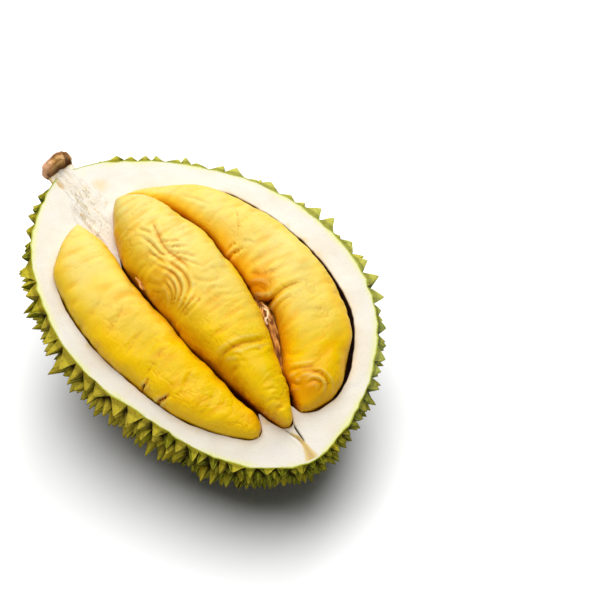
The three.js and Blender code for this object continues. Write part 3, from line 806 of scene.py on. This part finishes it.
# Flesh pods: three soft golden bodies that swell out of the hollows. Each is a thin satin skin over creamy
# flesh, so it wrinkles and puckers where it was pressed against its neighbours.
POD_STATIONS = 400
POD_TURN = np.pi * np.concatenate(
    [np.linspace(0, 1, 170, endpoint=False), np.linspace(1, 2, 50, endpoint=False)])
LEFT_CREASES = (
    (1.5, 0.55, ((21.5, -58), (22, -61), (21, -63.5), (20, -69))),
    (1.5, 0.55, ((36, -54.5), (35, -58), (32.5, -60.5), (29, -66))),
    (0.35, 1.6, ((-33, -46), (-28, -57), (-26, -65))), (0.3, 1.5, ((-20, -42), (-14, -54), (-11, -64))),
    (0.4, 1.7, ((-5, -38), (0, -51), (4, -63))), (0.35, 1.6, ((12, -38), (17, -50), (19, -60))),
    (0.35, 1.5, ((32, -36), (38, -47), (39, -56))), (0.3, 1.5, ((48, -33), (54, -42), (55, -50))),
)
MIDDLE_CREASES = (
    (0.75, 1.4, ((-50, -4), (-44, -4.5), (-36, -7), (-29, -8), (-22, -6.5), (-14, -5.5), (-8, -8))),
    (0.9, 1.1, ((1, -19), (-3, -12.5), (-6, -10.5), (-12, -9.5), (-18, -10.5), (-26, -13))),
    (0.9, 0.9, ((-1, -24), (-2, -21), (-4, -17), (-8, -14.5), (-14, -13.5), (-20, -15), (-27, -18))),
    (0.8, 0.8, ((-2, -25), (-4, -22), (-6, -19), (-11, -17), (-17, -17))),
    (0.7, 0.8, ((-4, -25), (-5, -23), (-7.5, -20.5), (-12, -19.3), (-17, -19.5))),
    (0.7, 0.9, ((1, -24.5), (1, -19.5), (-2, -13.5))),
    (0.7, 0.9, ((3, -24.5), (3.5, -18), (2, -11))),
    (0.6, 0.9, ((5, -24.5), (6.5, -17), (5.5, -10))),
    (0.5, 1.0, ((-26, -25), (-20, -23), (-14, -20.5))), (0.5, 0.9, ((-20, -25), (-16, -24), (-12, -22.5))),
    (0.6, 1.0, ((-50, -12), (-46, -10), (-42, -8))),
    (0.7, 1.0, ((-45, -14), (-38, -12.3), (-30, -12), (-26, -10.5))),
    (0.6, 1.0, ((-35, -16), (-28, -14.5), (-21, -12.8))), (0.6, 0.9, ((-35, -8), (-32, -3), (-28, 2))),
    (0.6, 0.9, ((-30, -7), (-27, -2), (-22, 4))), (0.6, 0.9, ((-25, -6), (-21, -2), (-14, 3))),
    (0.6, 0.9, ((-20, -5), (-14, -2), (-8, 2))), (0.5, 1.2, ((-8, -8), (-3, -5), (1, 0), (3, 8))),
    (0.4, 1.0, ((4, -5), (5, -1), (8, 3), (9, 10))), (0.35, 1.0, ((10, -5), (11, 0), (15, 6))),
    (0.8, 1.5, ((37, -22), (37, -19), (38, -15), (40, -8), (43, -1), (44, 8))),
    (0.4, 0.9, ((39, -19), (42, -15), (46, -13))), (0.4, 0.9, ((44, -19), (46, -15), (49, -13))),
    (0.35, 0.9, ((45, -10), (46, -5), (50, -2))), (0.3, 0.8, ((66, -16), (68, -12), (71, -8))),
    (0.35, 0.8, ((72, -17), (73, -14), (76, -11))), (0.35, 0.8, ((76, -17), (78, -14), (81, -11))),
)
RIGHT_CREASES = (
    (0.5, 0.7, ((-31, 43), (-25, 40), (-20, 36), (-17, 32))),
    (0.85, 1.0, ((-9, 33), (-11, 29), (-12.5, 24.5), (-13, 20))),
    (0.7, 1.0, ((-16, 24.5), (-16, 28), (-15, 31))), (0.4, 0.9, ((-13, 32), (-11, 36), (-7, 38))),
    (1.4, 1.2, ((14, 20), (19, 22.5), (22.5, 25), (24, 28))),
    (0.6, 1.6, ((23, 26), (23.5, 29), (25, 37), (28, 45))),
    (0.5, 1.4, ((8, 22.5), (13, 25), (19, 26))), (0.4, 1.6, ((2, 25), (9, 30), (13, 37))),
    (0.5, 1.2, ((29, 23), (29, 28), (30, 34))),
    (0.8, 1.3, ((62, 6), (66, 10), (69, 14), (72, 19))),
    (0.7, 1.1, ((68, 5), (70, 12), (76, 17), (82, 18), (86, 14))),
    (0.7, 1.0, ((76, 7), (77, 12), (81, 14), (84, 10))), (0.5, 1.0, ((67, 4), (72, 4), (74, 6))),
    (0.35, 1.2, ((52, 12), (57, 13), (61, 18))), (0.3, 1.4, ((41, 31), (44, 38), (48, 43))),
    (0.4, 1.2, ((-59, 25), (-51, 30), (-42, 34))),
)
# Painted shade of each pod: warm orange at the near and the far edge and in spots, and the levels below which
# its sides take deep painted shade.
LEFT_PAINTED_SHADE = (0.0, 0.7, ((74, -26, 9, 0.4),), ((0, 2),), -9)
MIDDLE_PAINTED_SHADE = (0.5, 0.4, ((-14, -23, 13, 0.5),), ((0, 5),), 2)
RIGHT_PAINTED_SHADE = (
    0.8, 0.05, ((12, 25, 9, 1.0), (-20, 27, 8, 0.4), (78, 8, 14, 0.7)),
    ((8, 9), (16, 0), (56, 0), (66, 9)), 2,
)
# Painted fill light: the way that the faces it brightens turn, towards the apex, towards -Y and up.
PAINTED_FILL_WAY = np.array([0.65, -0.65, 0.4])


def grid_normals(grid):
    """Unit normals of a round grid, from the cross product of its row and column differences."""
    along = np.gradient(grid, axis=0)
    around = np.roll(grid, -1, axis=1) - np.roll(grid, 1, axis=1)
    normal = np.cross(along, around)
    length = np.linalg.norm(normal, axis=-1, keepdims=True)
    return normal / np.maximum(length, 1e-9)


def pod_skin(ribs, level, rise, sink, creases, amber, seed):
    """The pod's loft, pushed along its normals by soft lumps, fine folds across its length, puckers and
    creases. Its last argument but one holds the strength of a warm painted shade at the near and the far
    edge, spots of it as place, reach and strength, and the level under which the near side, along its
    length, and the far side lie in deep painted shade."""
    grid = lofted(ribs, level, rise, sink, POD_STATIONS, POD_TURN)
    normal = grid_normals(grid)
    normal = np.where((normal * (grid - grid.mean(1, keepdims=True))).sum() < 0, -normal, normal)
    top = np.clip((grid[..., 2] - level + 3) / 4, 0, 1)
    groove, dark = creased(grid, creases)
    lumps = 0.45 * swell(grid, 34, seed) + 0.22 * swell(grid, 15, seed + 1)
    fold = swell(grid * [1, 0.25, 0.25], 5.0, seed + 2) * (0.6 + 0.4 * swell(grid, 20, seed + 3))
    warped = grid + 1.5 * swell(grid, 12, seed + 4)[..., None]
    pucker = np.exp(-(swell(warped * [1, 0.6, 0.6], 7.0, seed + 5) / 0.3) ** 2)
    pucker = pucker * np.clip(0.5 + swell(grid, 26, seed + 6), 0, 1)
    width = np.sin(np.pi * np.linspace(0, 1, len(grid)))[:, None] ** 0.5
    push = width * (lumps + 0.15 * fold - 0.25 * pucker) * (0.3 + 0.7 * top) + top * groove
    points = grid + normal * push[..., None]
    points[0], points[-1] = points[0, 0], points[-1, 0]
    near_side, far_side, spots, near_foot, far_foot = amber
    edge = np.where(POD_TURN < np.pi, POD_TURN, 0)
    # Painted shade: warm orange that fades in from the near and the far edge and gathers in spots.
    warm_shade = near_side * np.clip(1 - edge / 1.1, 0, 1) + far_side * np.clip(1 - (np.pi - edge) / 1.1, 0, 1)
    warm_shade = warm_shade + np.zeros(grid.shape[:2])
    for x, y, reach, share in spots:
        warm_shade = np.maximum(warm_shade, share * spot(grid, x, y, reach))
    # Painted sheen: nought towards the stem and the far side, where the finish paints the pods paler, rising
    # towards the apex.
    ripe = np.clip((grid[..., 0] - 0.75 * grid[..., 1] - 10) / 60 + 0.5, 0, 1)
    # The crown, the top of each section, where the finish paints a highlight.
    crown = np.sin(edge) ** 1.5 * np.ones_like(warm_shade)
    near_foot = np.interp(grid[..., 0], *np.transpose(near_foot))
    foot = np.where(np.cos(POD_TURN) > 0, near_foot, far_foot)
    marks = {
        "crease": dark * top + 0.3 * pucker, "puff": np.maximum(groove * top, 0), "fold": 0.5 + 0.25 * fold,
        "amber": warm_shade, "ripe": ripe, "crown": crown, "flank": np.clip(normal @ PAINTED_FILL_WAY, 0, 1),
        # How far a side lies below its level, where the finish paints deep shade.
        "deep": np.clip((foot - grid[..., 2]) / 6, 0, 1) * width ** 2,
    }
    return round_grid(points, marks)


def pod_finish():
    """Golden satin skin: pale on the crown, a painted highlight, and towards the stem, a painted sheen;
    deeper towards the apex; warm orange down the sides and brown in the creases and where the pods meet,
    painted shade; brighter on the faces turned to the front, painted fill light."""
    material, tree, shader, patches, grain = tissue("durian flesh", 45, 260)
    crease, amber, ripe, fold = marks_of(tree, "crease", "amber", "ripe", "fold")
    crown, flank, puff, deep = marks_of(tree, "crown", "flank", "puff", "deep")
    # Painted sheen: paler towards the stem and the far side, deeper towards the apex.
    colour = coated(tint(232, 199, 36), (ripe, (229, 179, 0)), (times(patches, 0.4), (234, 174, 0)))
    pale = mixed(ripe, tint(214, 199, 120), tint(209, 176, 4))
    even = times(times(patches, -0.4), 1.0, "ADD")
    colour = coated(
        # Painted highlight: the crown turns pale, in patches.
        mixed(times(between(crown, 0.2, 1.0), even), colour, pale),
        # Painted fill light: brighter yellow on faces turned towards the apex, -Y and up.
        (between(flank, 0.4, 0.95, 0.6), (250, 206, 20)),
        # Painted shade: deeper orange in the troughs of the fine folds.
        (between(fold, 0.6, 0.0, 0.45), (218, 154, 2)),
        # Painted shade: warm orange down the sides and in spots.
        (between(amber, 0.0, 1.0, 0.9), (212, 132, 3)),
        # Painted highlights: pale cream on the puffed shoulders of the creases.
        (between(puff, 0.05, 0.35, 0.35), (224, 210, 128)),
        # Painted shade: orange to dark brown in the creases and puckers.
        (between(crease, 0.1, 0.8, 0.8), (192, 116, 4)),
        (between(crease, 0.75, 1.1, 0.9), (84, 30, 4)),
        # Painted shade: orange to dark brown on the low sides, where the pods meet each other and the hollow.
        (between(deep, 0.0, 0.6, 0.8), (196, 104, 2)),
        (between(deep, 0.4, 1.0, 0.95), (76, 26, 3)),
    )
    shader.inputs["Subsurface Weight"].default_value = 0.4
    shader.inputs["Subsurface Radius"].default_value = (1.0, 0.5, 0.1)
    shader.inputs["Subsurface Scale"].default_value = 0.004
    place = add(tree, "TexCoord").outputs["Object"]
    place = add(tree, "VectorMath", {0: place, 1: (1, 0.22, 0.22)}, operation="MULTIPLY").outputs[0]
    feeds = {"Vector": place, "Scale": 300.0, "Detail": 2.0, "Distortion": 0.4}
    wrinkle = add(tree, "TexNoise", feeds).outputs["Fac"]
    relief = times(wrinkle, times(grain, 0.4), "ADD")
    lay(shader, colour, between(grain, -0.4, 1.6, 0.8), 0.09, relief, 0.0006)
    return material


pod_material = pod_finish()
for name, node, ribs, level, rise, sink, creases, amber, seed in (
    ("left_flesh_pod", "aril_left", POD_LEFT, 1, 16, 36, LEFT_CREASES, LEFT_PAINTED_SHADE, 31),
    ("middle_flesh_pod", "aril_middle", POD_MIDDLE, 4, 24, 52, MIDDLE_CREASES, MIDDLE_PAINTED_SHADE, 41),
    ("right_flesh_pod", "aril_right", POD_RIGHT, 0, 17, 36, RIGHT_CREASES, RIGHT_PAINTED_SHADE, 51),
):
    pod = mesh_piece(name, *pod_skin(ribs, level, rise, sink, creases, amber, seed), pod_material)
    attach(pod, "root")
    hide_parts(node)


# Stem: the woody stub that the fruit hung from, with a swollen collar where it parted from the branch. The
# knife sliced the neck lengthwise and left the collar whole.
STEM_LENGTH = 15.0
STEM_PROFILE = (
    (0.0, 12), (7.4, 12), (7.6, 0), (7.8, -5), (8.1, -7.8), (9.3, -9.2), (9.7, -11.2), (9.0, -13.4),
    (6.2, -14.6), (0.0, -STEM_LENGTH),
)
STEM_CUT_LENGTH = 8.0


def stem_stub():
    """A lathe turn about the stem's axis, wrinkled round and along, with the neck pressed flat at the cut.
    The left mark grows round the collar towards -Y."""
    line = smooth_line(STEM_PROFILE, np.linspace(0, 1, 90))
    turn = np.linspace(0, 2 * np.pi, 110, endpoint=False)
    radius, reach = np.maximum(line[:, :1], 0), line[:, 1:] * np.ones_like(turn)
    grid = np.stack([reach, radius * np.cos(turn), radius * np.sin(turn)], -1)
    bark = 0.03 * swell(grid * [0.25, 1, 1], 3.2, 61) + 0.04 * swell(grid, 9, 62)
    grid = grid * np.stack([np.ones_like(bark), 1 + bark, 1 + bark], -1)
    grid[..., 0] += 0.3 * swell(grid, 9, 63) * np.minimum(radius / 6, 1)
    lift = 12 * np.clip((-STEM_CUT_LENGTH - reach) / 1.2, 0, 1)
    cut = np.clip(grid[..., 2] - lift + 0.3, 0, 1) * (reach > -STEM_CUT_LENGTH + 1)
    grid[..., 2] = np.minimum(grid[..., 2], lift - 0.1)
    grid = grid + STEM_END
    grid[0], grid[-1] = grid[0].mean(0), grid[-1].mean(0)
    left = 0.5 - 0.5 * np.cos(turn)
    return round_grid(grid, {"reach": -reach / STEM_LENGTH, "cut": cut, "bark": bark * 8 + 0.5, "left": left})


def stem_finish():
    """Tan creased wood: golden skin on the neck, dark brown round the collar with a ring of painted shade
    where it meets the neck, pinkish on the left and at the broken end."""
    material, tree, shader, patches, grain = tissue("durian stem", 260, 1200)
    reach, cut, bark, left = marks_of(tree, "reach", "cut", "bark", "left")
    collar = times(between(reach, 0.7, 0.78), between(reach, 0.97, 0.88))
    # Painted shade: a dark ring where the neck meets the collar.
    painted_junction_shade = times(between(reach, 0.47, 0.51), between(reach, 0.58, 0.54))
    colour = coated(
        tint(226, 188, 128),
        (patches, (190, 136, 70)),
        (between(reach, 0.5, 0.35), (222, 186, 110)),
        (times(collar, 0.8), (116, 66, 20)),
        # Painted shade at the neck's join to the collar.
        (times(painted_junction_shade, 0.8), (74, 44, 14)),
        (between(reach, 0.93, 0.99), (224, 176, 134)),
        (times(between(reach, 0.5, 0.6), between(left, 0.55, 0.9, 0.85)), (230, 172, 132)),
        (between(bark, 0.35, 0.0, 0.8), (96, 54, 18)),
        (cut, (242, 230, 202)),
    )
    lay(shader, colour, between(grain, -0.8, 0.6, 0.85), 0.3, grain, 0.0008)
    return material


stem = mesh_piece("stem_stub", *stem_stub(), stem_finish())
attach(stem, "root")
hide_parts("stem")


# Studio: a wide pale floor under soft white light, with the camera where the photograph was taken from.
FLOOR_HALF = 3.0
CAMERA_PLACE = Vector(lying(np.array([330.4, -304.7, 900.1])) / 1000)
CAMERA_AIM = Vector(lying(np.array([33.2, 38.4, 9.0])) / 1000)
CAMERA_LENS = 107.7


def floor_finish():
    """Matt white card with hardly any tone."""
    material, _, shader, patches, grain = tissue("studio floor", 3, 60)
    colour = mixed(patches, tint(246, 246, 246), tint(248, 248, 248))
    lay(shader, colour, between(grain, -1.0, 0.5, 0.9), 0.5, grain, 0.0001)
    return material


floor_mesh = bpy.data.meshes.new("floor")
corners = np.array([(-1, -1, 0), (1, -1, 0), (1, 1, 0), (-1, 1, 0)]) * FLOOR_HALF
floor_mesh.from_pydata(corners.tolist(), [], [(0, 1, 2, 3)])
floor_mesh.materials.append(floor_finish())
floor = bpy.data.objects.new("floor", floor_mesh)
bpy.context.scene.collection.objects.link(floor)


def soft_lamp(name, place, size, power):
    """A square lamp that looks at the fruit."""
    lamp = bpy.data.lights.new(name, "AREA")
    lamp.size = size
    lamp.energy = power
    holder = bpy.data.objects.new(name, lamp)
    holder.location = place
    holder.rotation_euler = (CAMERA_AIM - Vector(place)).to_track_quat("-Z", "Y").to_euler()
    bpy.context.scene.collection.objects.link(holder)


soft_lamp("overhead_softbox", (-0.1, -0.05, 1.88), 1.7, 47.5)
soft_lamp("back_softbox", (-0.75, 1.05, 1.45), 1.0, 16)

world = bpy.data.worlds.new("studio air")
world.use_nodes = True
world.node_tree.nodes["Background"].inputs["Color"].default_value = (1, 1, 1, 1)
world.node_tree.nodes["Background"].inputs["Strength"].default_value = 0.09
bpy.context.scene.world = world
bpy.context.scene.view_settings.view_transform = "Standard"

camera = bpy.data.objects.new("camera", bpy.data.cameras.new("camera"))
camera.location = CAMERA_PLACE
camera.rotation_euler = (CAMERA_AIM - CAMERA_PLACE).to_track_quat("-Z", "Y").to_euler()
camera.data.lens = CAMERA_LENS
camera.data.sensor_width = 36
bpy.context.scene.collection.objects.link(camera)
bpy.context.scene.camera = camera
